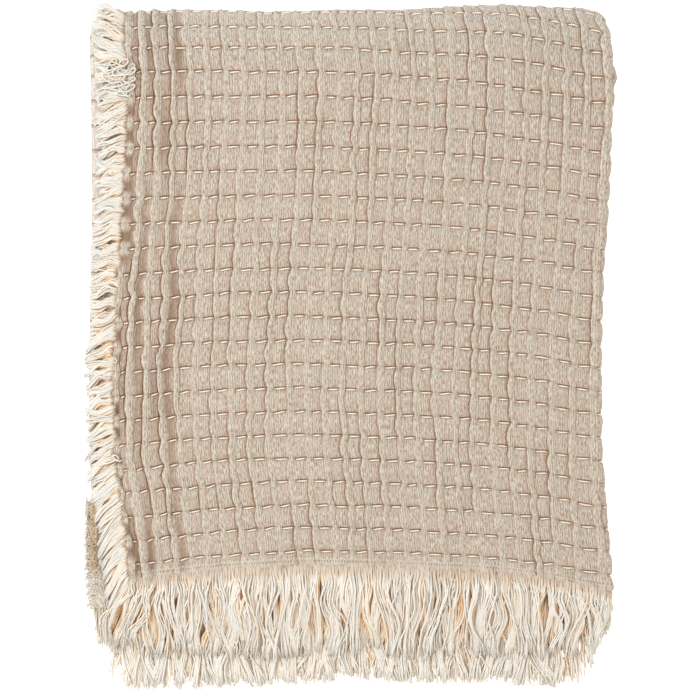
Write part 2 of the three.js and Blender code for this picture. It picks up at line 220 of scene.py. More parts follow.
class Lattice:
    """Even noise that is drawn once at whole numbers and eased between them."""

    def __init__(self, seed, columns, rows):
        self.value = np.random.default_rng(seed).uniform(-1, 1, (columns, rows))

    def at(self, s, r):
        s, r = np.asarray(s, float) + 8, np.asarray(r, float) + 8
        i, j = np.floor(s).astype(int), np.floor(r).astype(int)
        a, b = ease(s - i), ease(r - j)
        m, n = self.value.shape
        pick = lambda p, q: self.value[p % m, q % n]
        return (
            (pick(i, j) * (1 - a) + pick(i + 1, j) * a) * (1 - b)
            + (pick(i, j + 1) * (1 - a) + pick(i + 1, j + 1) * a) * b
        )


wander = Lattice(3, 97, 89)
kink = Lattice(4, 193, 181)
slope_noise = Lattice(5, 97, 89)
row_wave = Lattice(6, 53, 89)
swell = Lattice(7, 193, 97)
groove_left = Lattice(8, 97, 97)
groove_right = Lattice(9, 97, 97)
heave = Lattice(10, 41, 41)
bulge = Lattice(11, 97, 89)
gather = Lattice(12, 311, 41)


def row_v(r):
    """How far along the cloth a row lies."""
    return FIRST_ROW + ROW_AT_HEM * r + ROW_GROWS * r * r


def v_of_hem(r):
    """The same, with all that lies beyond the hem drawn back to it."""
    return np.maximum(row_v(np.maximum(r, R_HEM)), 0)


def row_of(v):
    """The row number at a place along the cloth."""
    root = np.sqrt(ROW_AT_HEM ** 2 + 4 * ROW_GROWS * (v - FIRST_ROW))
    return (-ROW_AT_HEM + root) / (2 * ROW_GROWS)


R_HEM = float(row_of(0.0))
R_END = float(row_of(CLOTH_LENGTH))


def crowded(s):
    """How closely the cloth is gathered beside the side fringe."""
    return 1 - ease((s - 2.2) / 2.4)


def narrowed(s):
    """The columns' places with the stitched panels narrowed where the cloth is crowded."""
    ds = s - np.round(s)
    side = np.abs(ds)
    edge = PANEL_HALF * (1 - 0.4 * (1 - ease(s / 1.8)))
    moved = np.where(
        side < PANEL_HALF, side * edge / PANEL_HALF,
        edge + (side - PANEL_HALF) * (0.5 - edge) / (0.5 - PANEL_HALF),
    )
    return np.round(s) + np.sign(ds) * moved


def flat(s, r):
    """The flat place of a point of the quilting, with its wandering columns and tilted stitches."""
    s, r = np.asarray(s, float), np.asarray(r, float)
    u = np.interp(narrowed(s), S_KNOTS, U_KNOTS)
    v = row_v(r)
    inside = ease((s + 1) / 0.6) * (1 - ease((s - 27.5) / 3))
    off_hem = ease(v / 12)
    row = np.round(r)
    off_row = r - row
    lean = COLUMN_LEAN * ease((s - 6) / 18) * (1 - ease((s - 24.5) / 3)) * (1 - v / LEAN_REACH)
    u = u - np.where(v < LEAN_REACH, lean, 0)
    near = crowded(s)
    at_row = 0.5 + 0.5 * np.cos(2 * math.pi * off_row)
    step = row - 1 + ease((off_row + 0.09) / 0.18)
    # the columns bow to the left between the rows and jog back at each row
    bow = -1.9 * (0.75 + 0.6 * bulge.at(1.5 * s + 40, np.floor(r))) * (1 - at_row) ** 0.7
    u = u + inside * off_hem * bow
    u = u + inside * (
        (1.2 + 0.8 * near) * wander.at(s / 1.6, r / 2.2)
        + (0.8 + 0.4 * near) * kink.at(2 * s, 2 * r)
        + (0.7 + 0.5 * near) * bulge.at(s, row) * at_row ** 3
        + 0.6 * slope_noise.at(1.4 * s + 30, step)
    )
    tilt = 0.34 + 0.3 * slope_noise.at(np.round(s), row)
    near_row = np.exp(-(off_row / 0.22) ** 2)
    v = v + inside * off_hem * (
        near_row * tilt * np.sin(2 * math.pi * (s - np.round(s)))
        + 0.6 * row_wave.at(s / 2, r) + 0.35 * wander.at(s + 31, r + 17)
    )
    return u, v


def between_rows(r):
    """One midway between the rows, where the plain band dimples, and none on them."""
    return ease(0.15 - 0.85 * np.cos(2 * math.pi * r))


def relief(s, r):
    """The height of the quilting's face, with the strength of the painted shade along its creases to the
    right and left of each stitch and in its hollows. Panels swell between the rows, ridges run
    between the columns over every row, and each stitch lies in a slot."""
    s, r = np.asarray(s, float), np.asarray(r, float)
    ds, dr = s - np.round(s), r - np.round(r)
    gap = np.round(s - 0.5) + 0.5
    near = crowded(s)
    inside = ease((s + 0.9) / 0.5) * (1 - ease((s - 27.4) / 1.0))
    dome = 1 - (1 - np.minimum(1, 2 * np.abs(dr))) ** 2.6
    full = SWELL + 0.5 * swell.at(s, r)
    slot = np.where(dr > 0, 1 - ease((dr - 0.045) / 0.035), 1 - ease((-dr - 0.05) / 0.05))
    in_stitch = 1 - ease((np.abs(ds) - 0.28) / 0.04)
    panel = full * dome * (1 - 0.22 * np.sign(ds) * ease(np.abs(ds) / 0.3))
    valley = near * np.clip(0.8 + 1.2 * groove_left.at(np.round(s) * 1.7 + 20, r / 3.5), 0.1, 2.0)
    panel = panel - SLOT_DEPTH * slot * in_stitch
    panel = panel - VALLEY_DEPTH * valley * (1 - ease((np.abs(ds) - 0.12) / 0.2))
    # some creases run down many rows and some are hardly there
    along = 0.45 + 0.9 * groove_right.at(gap * 1.9, r / 3.6)
    right = np.clip(along + 0.45 * groove_right.at(gap + 31, r + 0.5), 0.15, 1.1)
    left = np.clip(0.1 + 0.8 * groove_left.at(gap * 1.9 + 50, r / 2.5), 0, 0.9)
    ridge = (0.35 + 0.95 * right + 0.35 * swell.at(gap * 2 + 40, r * 1.2)) * (1 + 0.7 * near)
    q = np.clip((np.mod(ds, 1.0) - PANEL_HALF) / 0.46, 0, 1)
    hump = np.minimum(1, q / 0.2) * (1 - ease((q - 0.22) / 0.78))
    on_ridge = ease(q / 0.1) * (1 - ease((q - 0.7) / 0.3))
    pinch = (0.85 - 0.3 * near) * (1 - ease(np.abs(dr) / 0.16))
    over = full * (0.6 + 0.4 * dome) - pinch + ridge * hump
    height = panel + (over - panel) * on_ridge
    height = height - (0.7 + 1.3 * near) * right * np.exp(-((ds - PANEL_HALF) / 0.032) ** 2)
    height = height - (0.5 + 0.9 * near) * left * np.exp(-((ds + PANEL_HALF) / 0.04) ** 2)
    height = height - 0.9 + 0.9 * heave.at(s / 4, r / 3) + 0.4 * heave.at(s / 1.5 + 9, r / 1.3)
    off_hem = ease((r - R_HEM) / 0.3)
    height = height * inside * (0.35 + 0.65 * off_hem)
    # the plain band beside the side fringe dimples between the rows
    band = ease((s + 0.92) / 0.2) * (1 - ease((s + 0.24) / 0.18))
    band = band * between_rows(r) * off_hem * np.clip(0.75 + 0.9 * wander.at(r, 3), 0.1, 1.4)
    height = height - DIMPLE_DEPTH * band
    from_hem = v_of_hem(r)
    pleat = np.where(from_hem < PLEAT_REACH, 1 - ease(from_hem / PLEAT_REACH), 0)
    pleat = pleat * gather.at(s * 3.1, r * 0.4)
    height = height + PLEAT_HEIGHT * pleat * inside
    # painted shade in the dimples of the plain band, down the valleys of the crowded columns and in the
    # hollows between the pleats at the hem
    hollow = 1.9 * band + 0.62 * valley * (1 - ease((np.abs(ds) - 0.16) / 0.16)) * inside
    hollow = np.clip(hollow + 0.5 * np.clip(-pleat, 0, 1) * inside, 0, 1)
    shade = inside * (1 + 0.7 * near)
    return height, right * shade, left * shade, hollow


# Materials


class Finish:
    """A material built up node by node."""

    def __init__(self, name):
        self.material = bpy.data.materials.new(name)
        self.material.use_nodes = True
        tree = self.material.node_tree
        self.nodes, self.links = tree.nodes, tree.links
        self.shader = self.nodes["Principled BSDF"]

    def put(self, socket, value):
        if isinstance(value, bpy.types.NodeSocket):
            self.links.new(value, socket)
        else:
            socket.default_value = value

    def node(self, kind, inputs=(), **settings):
        made = self.nodes.new(kind)
        for key, value in settings.items():
            setattr(made, key, value)
        for key, value in dict(inputs).items():
            self.put(made.inputs[key], value)
        return made

    def math(self, operation, *values, clamp=False):
        made = self.nodes.new("ShaderNodeMath")
        made.operation, made.use_clamp = operation, clamp
        for socket, value in zip(made.inputs, values):
            self.put(socket, value)
        return made.outputs[0]

    def plus(self, one, other, clamp=False):
        return self.math("ADD", one, other, clamp=clamp)

    def minus(self, one, other, clamp=False):
        return self.math("SUBTRACT", one, other, clamp=clamp)

    def times(self, one, other, clamp=False):
        return self.math("MULTIPLY", one, other, clamp=clamp)

    def size(self, value):
        return self.math("ABSOLUTE", value)

    def uv(self, name):
        return self.node("ShaderNodeUVMap", uv_map=name).outputs[0]

    def parts(self, vector):
        made = self.node("ShaderNodeSeparateXYZ", {0: vector})
        return made.outputs[0], made.outputs[1]

    def noise(self, vector, cells, detail=2.0, roughness=0.5):
        """Noise with a number of cells to each unit of the vector, told for each direction."""
        scaled = self.node("ShaderNodeVectorMath", {0: vector, 1: cells}, operation="MULTIPLY")
        made = self.node(
            "ShaderNodeTexNoise",
            {"Vector": scaled.outputs[0], "Scale": 1.0, "Detail": detail, "Roughness": roughness},
        )
        return made.outputs[0]

    def ramp(self, value, low, high, to_low=0.0, to_high=1.0, smooth=True):
        made = self.node(
            "ShaderNodeMapRange",
            {"Value": value, "From Min": low, "From Max": high, "To Min": to_low, "To Max": to_high},
            interpolation_type="SMOOTHSTEP" if smooth else "LINEAR",
        )
        return made.outputs[0]

    def mix(self, share, one, other):
        """A share of another colour laid over the first."""
        made = self.node("ShaderNodeMix", data_type="RGBA")
        for number, value in ((0, share), (6, one), (7, other)):
            self.put(made.inputs[number], (*value, 1) if isinstance(value, tuple) else value)
        return made.outputs[2]

    def look(self, inputs):
        """Set what the surface takes, by the names of its inputs."""
        for name, value in inputs.items():
            self.put(self.shader.inputs[name], value)

    def bump(self, height, strength, distance, normal=None):
        made = self.node(
            "ShaderNodeBump", {"Strength": strength, "Distance": distance, "Height": height},
        )
        if normal is not None:
            self.put(made.inputs["Normal"], normal)
        return made.outputs[0]


def gauze_finish():
    """Layered cotton gauze: a fine lengthwise weave, with painted warm shade in the hollows and painted
    shade lines down the creased panel sides.
    """
    f = Finish("quilted_gauze")
    cells = f.uv("quilting")
    s, r = f.parts(cells)
    flat_place = f.uv("flat")
    # the strengths of the painted shade along the creases to the right and left, and in the hollows
    painted_shade_strengths = f.node("ShaderNodeAttribute", attribute_name="creases").outputs["Vector"]
    crease = f.node("ShaderNodeSeparateXYZ", {0: painted_shade_strengths})
    right_strength, left_strength, hollow = (crease.outputs[i] for i in range(3))
    # the offsets from the nearest stitch, from -0.5 to 0.5
    ds = f.minus(f.math("FRACT", f.plus(s, 0.5)), 0.5)
    dr = f.minus(f.math("FRACT", f.plus(r, 0.5)), 0.5)
    off_stitch = f.size(ds)
    # painted shade lines down the creased sides of the panels, drawn a little unsteadily, with a painted
    # shadow over the panel beside them and a painted highlight on the ridge
    shake = f.ramp(f.noise(cells, (9.0, 7.0, 1.0), 2.0), 0.3, 0.7, -0.02, 0.02, False)
    right = f.size(f.plus(f.minus(ds, PANEL_HALF), shake))
    left = f.size(f.plus(f.plus(ds, PANEL_HALF), shake))
    right = f.times(f.ramp(right, 0.008, 0.05, 1.0, 0.0), right_strength)
    left = f.times(f.ramp(left, 0.008, 0.052, 1.0, 0.0), left_strength)
    line = f.plus(right, left, clamp=True)
    shadow = f.ramp(f.minus(PANEL_HALF, ds), 0.0, 0.26, 1.0, 0.0)
    shadow = f.times(shadow, f.ramp(ds, 0.29, 0.33, 1.0, 0.0))
    shadow = f.times(shadow, right_strength)
    lit = f.times(f.size(f.minus(ds, 0.4)), 12.0)
    lit = f.minus(1.0, lit, clamp=True)
    lit = f.times(lit, f.plus(0.35, right_strength), clamp=True)
    # painted shade in the slot of each stitch, darkest above the thread, and a faint painted shade line
    # along the row between the stitches
    above = f.times(f.ramp(dr, -0.01, 0.025), f.ramp(dr, 0.05, 0.095, 1.0, 0.0))
    below = f.times(f.ramp(dr, -0.1, -0.055), f.ramp(dr, -0.03, 0.01, 1.0, 0.0))
    beside = f.ramp(off_stitch, 0.29, 0.36, 1.0, 0.0)
    slot = f.plus(above, f.times(below, 0.45), clamp=True)
    slot = f.times(slot, beside)
    patchy = f.ramp(f.noise(cells, (3.3, 1.7, 1.0), 2.0), 0.35, 0.62)
    row_line = f.times(f.times(above, f.minus(1.0, beside)), patchy)
    # painted light: the ridges between the columns are paler than the panels
    on_ridge = f.math("MAXIMUM", f.ramp(ds, 0.33, 0.4), f.ramp(ds, -0.12, -0.44))
    # painted shade: the lower part of each panel, away from the light, is a little darker and pinker
    lower_panel_shade = f.ramp(f.math("FRACT", r), 0.1, 0.5, 1.0, 0.0)
    lower_panel_shade = f.times(lower_panel_shade, f.minus(1.0, on_ridge))
    # weave
    fine = f.noise(flat_place, (1500.0, 250.0, 1.0), 3.0, 0.75)
    streak = f.noise(flat_place, (700.0, 70.0, 1.0), 2.0, 0.6)
    tint = f.noise(flat_place, (520.0, 130.0, 1.0), 2.0, 0.6)
    cloud = f.noise(flat_place, (45.0, 45.0, 1.0), 3.0, 0.55)
    # ribs along the cloth, clearer in some places than in others
    across, along = f.parts(flat_place)
    shift = f.times(f.noise(flat_place, (160.0, 60.0, 1.0), 1.0), 7.0)
    rib = f.math("SINE", f.plus(f.times(across, 2 * math.pi / RIB_PITCH), shift))
    clear = f.ramp(f.noise(flat_place, (70.0, 40.0, 1.0), 2.0), 0.35, 0.6, 0.25, 1.0)
    # a painted highlight on the edge of the left fold, where the light falls, and painted shade in small
    # holes along the hem
    from_lit_fold = f.size(f.minus(across, (LOWER_END + INNER_START) / 2 * MM))
    hole = f.ramp(f.math("SINE", f.times(across, 2 * math.pi / HOLE_PITCH)), 0.1, 0.7)
    hole_row = f.ramp(f.size(f.minus(along, HOLE_LINE)), 0.0004, 0.0011, 1.0, 0.0)
    hole = f.times(f.times(hole, hole_row), f.ramp(cloud, 0.4, 0.55, 0.3, 0.85))
    # the two tones of the weave, and what tints them or paints shade and light over them, one over the
    # other
    tone = f.mix(f.ramp(tint, 0.4, 0.6), (0.61, 0.45, 0.34), (0.515, 0.50, 0.45))
    for share, colour in (
        (f.ramp(cloud, 0.3, 0.7, 0.0, 0.35), (0.53, 0.395, 0.31)),
        # painted shade on the lower part of each panel
        (f.times(lower_panel_shade, 0.25), (0.53, 0.37, 0.275)),
        # painted light on the ridges
        (f.times(on_ridge, 0.4), (0.61, 0.565, 0.48)),
        (f.times(lit, 0.55), (0.76, 0.72, 0.63)),
        (f.ramp(streak, 0.5, 0.66, 0.0, 0.55), (0.70, 0.635, 0.55)),
        (f.ramp(streak, 0.34, 0.48, 0.5, 0.0), (0.40, 0.265, 0.185)),
        (f.times(f.ramp(rib, 0.1, 0.9, 0.0, 0.55), clear), (0.74, 0.69, 0.61)),
        (f.times(f.ramp(rib, -0.9, -0.1, 0.5, 0.0), clear), (0.38, 0.26, 0.19)),
        (f.ramp(fine, 0.36, 0.5, 0.8, 0.0), (0.29, 0.185, 0.12)),
        (f.ramp(fine, 0.5, 0.64, 0.0, 0.7), (0.83, 0.795, 0.71)),
        (f.times(shadow, 0.3), (0.38, 0.23, 0.14)),
        # painted warm shade in the hollows
        (f.times(hollow, 0.85), (0.27, 0.165, 0.10)),
        # painted highlight on the left fold
        (f.ramp(from_lit_fold, 0.012, 0.03, 0.36, 0.0), (0.68, 0.70, 0.68)),
        (f.ramp(along, 0.004, 0.011, 0.4, 0.0), (0.72, 0.68, 0.60)),
        # painted shade in the small holes along the hem
        (hole, (0.27, 0.16, 0.10)),
        # painted shade lines along the creases
        (f.times(line, 0.84), (0.26, 0.125, 0.06)),
        # painted shade in the stitches' slots
        (f.times(slot, 0.8), (0.24, 0.11, 0.05)),
        # a faint painted shade line along each row
        (f.times(row_line, 0.3), (0.33, 0.19, 0.11)),
    ):
        tone = f.mix(share, tone, colour)
    creases = f.bump(f.minus(1.0, line), 0.5, 0.0006)
    streaks = f.bump(streak, 0.9, 0.0014, creases)
    f.look({
        "Base Color": tone, "Roughness": 0.92, "Sheen Weight": 0.15, "Sheen Roughness": 0.5,
        "Specular IOR Level": 0.15, "Normal": f.bump(fine, 1.0, 0.001, streaks),
    })
    return f.material


# the colours of each yarn at its root, outside, a little deeper and deep down, the deeper ones a
# painted shade, and how far out along a thread the root's colour starts and ends to fade
YARNS = {
    "stitching_yarn": (
        (0.90, 0.80, 0.66), (0.92, 0.84, 0.71), (0.88, 0.765, 0.595), (0.78, 0.51, 0.27), (-0.1, 0.0),
    ),
    "end_yarn": (
        (0.65, 0.57, 0.475), (0.785, 0.766, 0.725), (0.82, 0.745, 0.625), (0.76, 0.50, 0.27), (0.03, 0.22),
    ),
    "lower_yarn": (
        (0.66, 0.57, 0.47), (0.765, 0.748, 0.71), (0.82, 0.76, 0.66), (0.78, 0.54, 0.31), (0.04, 0.24),
    ),
    "side_yarn": (
        (0.62, 0.535, 0.44), (0.685, 0.675, 0.64), (0.775, 0.72, 0.635), (0.76, 0.51, 0.28), (0.02, 0.16),
    ),
    "tuft_yarn": (
        (0.60, 0.52, 0.43), (0.67, 0.65, 0.60), (0.66, 0.57, 0.455), (0.47, 0.32, 0.18), (-0.1, 0.0),
    ),
}
# turns of the ply along a thread, and round it, as angles in radians
PLY_ALONG, PLY_ROUND = 230.0, 12.566


def yarn_finish(name):
    """Undyed cotton yarn, twisted: cream where it lies outside, and a painted golden shade where it lies
    deep.
    """
    root, cream, warm, golden, root_ends = YARNS[name]
    f = Finish(name)
    run, turn = f.parts(f.uv("yarn"))
    depth = f.node("ShaderNodeAttribute", attribute_name="depth").outputs["Fac"]
    place_now = f.node("ShaderNodeTexCoord").outputs["Object"]
    strand = f.noise(place_now, (620.0, 120.0, 500.0), 2.0, 0.5)
    depth = f.plus(depth, f.ramp(strand, 0.25, 0.75, -0.12, 0.12, False), clamp=True)
    # painted shade: each thread is warmer on its underside
    up = f.math("COSINE", f.times(turn, 2 * math.pi))
    depth = f.plus(depth, f.ramp(up, -0.4, 0.9, 0.7, 0.0), clamp=True)
    # the painted shade is a little lighter towards the tips
    depth = f.times(depth, f.ramp(run, 0.7, 0.98, 1.0, 0.75))
    # painted shade: the deeper the thread lies, the more golden
    colour = f.mix(f.ramp(depth, 0.08, 0.5), cream, warm)
    colour = f.mix(f.ramp(depth, 0.5, 1.0), colour, golden)
    # painted shade darkens the roots that lie deep
    root = f.mix(f.ramp(depth, 0.3, 0.95), root, (0.48, 0.29, 0.17))
    colour = f.mix(f.ramp(run, root_ends[0], root_ends[1]), root, colour)
    ply = f.plus(f.times(run, PLY_ALONG), f.times(turn, PLY_ROUND))
    f.look({
        "Base Color": colour, "Roughness": 0.75, "Sheen Weight": 0.3, "Specular IOR Level": 0.2,
        "Normal": f.bump(f.math("SINE", ply), 0.14, 0.0003),
    })
    return f.material


# Pieces


def add_object(name, data):
    made = bpy.data.objects.new(name, data)
    bpy.context.scene.collection.objects.link(made)
    return made


def grid(name, columns, rows, size):
    """A flat mesh divided into columns and rows."""
    bm = bmesh.new()
    bmesh.ops.create_grid(bm, x_segments=columns, y_segments=rows, size=size)
    mesh = bpy.data.meshes.new(name)
    bm.to_mesh(mesh)
    bm.free()
    return mesh


def show(name, mesh, finish):
    """Put a finished mesh in the scene, smooth, on the throw's only body."""
    mesh.polygons.foreach_set("use_smooth", np.ones(len(mesh.polygons), bool))
    piece = add_object(name, mesh)
    mesh.materials.clear()
    mesh.materials.append(finish)
    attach(piece, "root")
    return piece


def quilt_lines():
    """The places where the cloth's mesh is divided, across and along."""
    over_stitch = [-0.45, -0.35, -0.28, -0.1, 0.12, 0.26, 0.31, 0.355, 0.41]
    s = [-1.0, -0.95, -0.88, -0.8, -0.7, -0.58]
    for k in range(LAST_COLUMN + 2):
        s += [k + p for p in over_stitch]
    s.append(LAST_COLUMN + 1.58)
    hidden = [450, 520, 620, 720, 800, 815, *np.linspace(LOWER_END, INNER_START, 6), 835, 900, 1000]
    hidden += [1100, 1190, CLOTH_WIDTH]
    s += list(np.interp(hidden, U_KNOTS, S_KNOTS))
    over_row = [0.0, 0.05, 0.085, 0.17, 0.36, 0.64, 0.86, 0.945]
    turn_rows = range(int(row_of(FLOOR_END)), int(row_of(UNDER_START + 30)) + 1)
    r = [R_HEM - R_HEM * p for p in (0, 0.06, 0.16, 0.3, 0.5, 0.7, 0.84, 0.93)]
    for j in range(int(R_END)):
        full = j < SHOWN_ROWS or j in turn_rows
        r += [j + p for p in (over_row if full else [0.0, 0.14, 0.5])]
    r.append(R_END)
    return np.array(s), np.array(r)


def make_cloth(finish):
    """The cloth's face, one thin sheet laid along the folds, with its cut edges turned down."""
    s_lines, r_lines = quilt_lines()
    columns, rows = len(s_lines), len(r_lines)
    mesh = grid("cloth", columns - 1, rows - 1, 1.0)
    count = len(mesh.vertices)
    co = np.empty(count * 3)
    mesh.vertices.foreach_get("co", co)
    co = co.reshape(-1, 3)
    i = np.rint((co[:, 0] + 1) / 2 * (columns - 1)).astype(int)
    j = np.rint((co[:, 1] + 1) / 2 * (rows - 1)).astype(int)
    s, r = s_lines[i], r_lines[j]
    u, v = flat(s, r)
    u = np.where(i == 0, 0, np.where(i == columns - 1, CLOTH_WIDTH, u))
    v = np.where(j == 0, 0, np.where(j == rows - 1, CLOTH_LENGTH, v))
    height, right, left, hollow = relief(s, r)
    # the cut edges are rounded
    side_edge, hem_edge = 1 - np.minimum(1, u / 2.0), 1 - np.minimum(1, v / 2.5)
    height = CLOTH / 2 + height - 1.2 * side_edge ** 2 - 1.6 * hem_edge ** 2
    points = place(u, v, height) * MM
    # what lies on the floor is pressed flat
    points[:, 2] = np.maximum(points[:, 2], 0)
    mesh.vertices.foreach_set("co", points.ravel())
    corner = np.empty(len(mesh.loops), int)
    mesh.loops.foreach_get("vertex_index", corner)
    for name, pair in (("quilting", (s, r)), ("flat", (u * MM, v * MM))):
        layer = mesh.uv_layers.new(name=name)
        layer.data.foreach_set("uv", np.column_stack([pair[0][corner], pair[1][corner]]).ravel())
    # the strengths of the painted shade for the gauze: along the creases right and left of each stitch,
    # and in the hollows
    creases = mesh.attributes.new("creases", "FLOAT_VECTOR", "POINT")
    creases.data.foreach_set("vector", np.column_stack([right, left, hollow]).ravel())
    bm = bmesh.new()
    bm.from_mesh(mesh)
    # the cut edges show the cloth's thickness: each new vertex goes below the one that it came from
    edges = [e for e in bm.edges if e.is_boundary]
    rim = bmesh.ops.extrude_edge_only(bm, edges=edges)["geom"]
    new = {x for x in rim if isinstance(x, bmesh.types.BMVert)}
    below = place(u, v, np.full(count, -CLOTH / 2)) * MM
    below[:, 2] = np.maximum(below[:, 2], 0)
    for face in (x for x in rim if isinstance(x, bmesh.types.BMFace)):
        for edge in face.edges:
            a, b = edge.verts
            if (a in new) != (b in new):
                lower, upper = (a, b) if a in new else (b, a)
                lower.co = Vector(below[upper.index])
    bmesh.ops.recalc_face_normals(bm, faces=bm.faces)
    bm.to_mesh(mesh)
    bm.free()
    return show("cloth_sheet", mesh, finish)


# thickness of the yarns
STITCH_YARN, TUFT_YARN, END_YARN, SIDE_YARN = 1.3, 1.3, 1.4, 1.5
# half a running stitch's length, as a share of a column, and the points along it
STITCH_HALF, STITCH_POINTS = 0.3, 7
# the pitch of the small hem stitches, and how far from the hem they start and end
HEM_STITCH_PITCH, HEM_STITCH_ENDS = 2.3, (7.4, 9.0)


def yarn(name, strands, thickness, finish, depths=None):
    """One joined mesh of round threads. A strand is rows of x, y, z in millimetres and a share of
    the thickness; its depth, from 0 outside to 1, which sets its painted shade, is told for each row."""
    curve = bpy.data.curves.new(name, "CURVE")
    curve.dimensions = "3D"
    curve.bevel_depth = thickness * MM / 2
    curve.bevel_resolution = 0
    curve.use_fill_caps = True
    for strand in strands:
        spline = curve.splines.new("POLY")
        spline.points.add(len(strand) - 1)
        places = np.column_stack([strand[:, :3] * MM, np.ones(len(strand))])
        spline.points.foreach_set("co", places.ravel())
        spline.points.foreach_set("radius", strand[:, 3].copy())
    shape = add_object(name, curve)
    seen = shape.evaluated_get(bpy.context.evaluated_depsgraph_get())
    mesh = bpy.data.meshes.new_from_object(seen)
    bpy.data.objects.remove(shape)
    mesh.name = name
    mesh.uv_layers[0].name = "yarn"
    if depths is not None:
        # the mesh holds the end caps first, from the last thread to the first, then the threads
        caps = [d[i] for d in reversed(depths) for i in (-1, 0)]
        values = np.repeat(np.concatenate([caps, *depths]), 4)
        mesh.attributes.new("depth", "FLOAT", "POINT").data.foreach_set("value", values)
    bm = bmesh.new()
    bm.from_mesh(mesh)
    bmesh.ops.remove_doubles(bm, verts=bm.verts, dist=1e-6)
    bm.to_mesh(mesh)
    bm.free()
    return show(name, mesh, finish)


def make_stitches(finish):
    """The rows of running stitches, and a line of small stitches along the hem."""
    strands = []
    ds = np.linspace(-1, 1, STITCH_POINTS)
    chance = np.random.default_rng(21)
    for j in range(SHOWN_ROWS):
        for k in range(LAST_COLUMN + 2):
            half = STITCH_HALF * chance.uniform(0.88, 1.08)
            s = k + ds * half + 0.02 * chance.uniform(-1, 1)
            u, v = flat(s, np.full_like(ds, j))
            # the thread follows the cloth just below its row, without its peaks
            beside = relief(s, np.full_like(ds, j - 0.12))[0]
            beside = np.minimum(beside, np.median(beside))
            n = CLOTH / 2 + beside - 0.45 - 1.4 * ds ** 4
            points = place(u, v - 0.2, n)
            strands.append(np.column_stack([points, 1 - 0.5 * ds ** 4]))
    for u in np.arange(3, PANEL_END - 4, HEM_STITCH_PITCH):
        s = np.interp(u + chance.uniform(-0.3, 0.3), U_KNOTS, S_KNOTS)
        v = np.linspace(*HEM_STITCH_ENDS, 3) + chance.uniform(-0.3, 0.3)
        face = relief(np.full(3, s), row_of(v))[0]
        points = place(np.full(3, u), v, CLOTH / 2 + face + np.array([-0.1, 0.25, -0.1]))
        strands.append(np.column_stack([points, [0.35, 0.5, 0.35]]))
    return yarn("running_stitches", strands, STITCH_YARN, finish)


# Fringes

# x, and y of the tips of the fringe on top and of the fringes under it
TOP_TIPS = np.array([
    (-215, -236), (-199, -243), (-188, -254), (-170, -260), (-120, -257), (-60, -262), (0, -255),
    (50, -259), (110, -256), (160, -261), (185, -258), (205, -251), (215, -232),
], float)
LOW_TIPS = np.array([
    (-213, -205), (-209, -226), (-205, -236), (-199, -243), (-194, -250), (-191, -262), (-188, -272),
    (-182, -281), (-174, -285), (-110, -283), (-79, -281), (-38, -281), (3, -275), (44, -280), (85, -279),
    (126, -278), (165, -284), (180, -283), (190, -279), (200, -266), (207, -254), (212, -240),
    (217, -222),
], float)
HEM_HOLD = 4.6
# how far out past the hem, and the share of the fall to the surface that a thread has made there
FALL_Y = np.array([0, 14, 27, 38, 49, 61, 74, 110], float)
FALL_Z = np.array([0, 0.03, 0.12, 0.32, 0.6, 0.86, 1.0, 1.0])
# how far round the right fold the fringe on top goes
ROUND_FOLD = 9.0
# the pitch of the threads that are folded away
HIDDEN_PITCH = 3.2
# how many short fibres the roll of worn ends has, and how many threads hang below it
TUFT_FIBRES, TUFT_THREADS = 1500, 90
# about a full turn, in radians
CIRCLE = 6.3


def weft_ends(chance, tier):
    """Frayed ends of the last weft threads, between the locks."""
    along = np.linspace(-1, 1, 5)
    for at in chance.uniform(*tier["across"], tier["weft"]):
        low, wide = chance.uniform(0.2, 3.5), chance.uniform(1.2, 3.4)
        for _ in range(chance.integers(3, 7)):
            low += chance.uniform(0.85, 1.25)
            half = wide * chance.uniform(0.7, 1.1)
            x, y, z = place([at], [-0.4], [CLOTH / 2 + 0.5])[0]
            droop = 0.5 * wide / 2.5
            yield np.column_stack([
                x + half * along, y - low + droop * along ** 2 + 0.15 * along,
                z + 1.1 - 0.9 * along ** 2 - 0.04 * low ** 2, np.full_like(along, 0.45),
            ])


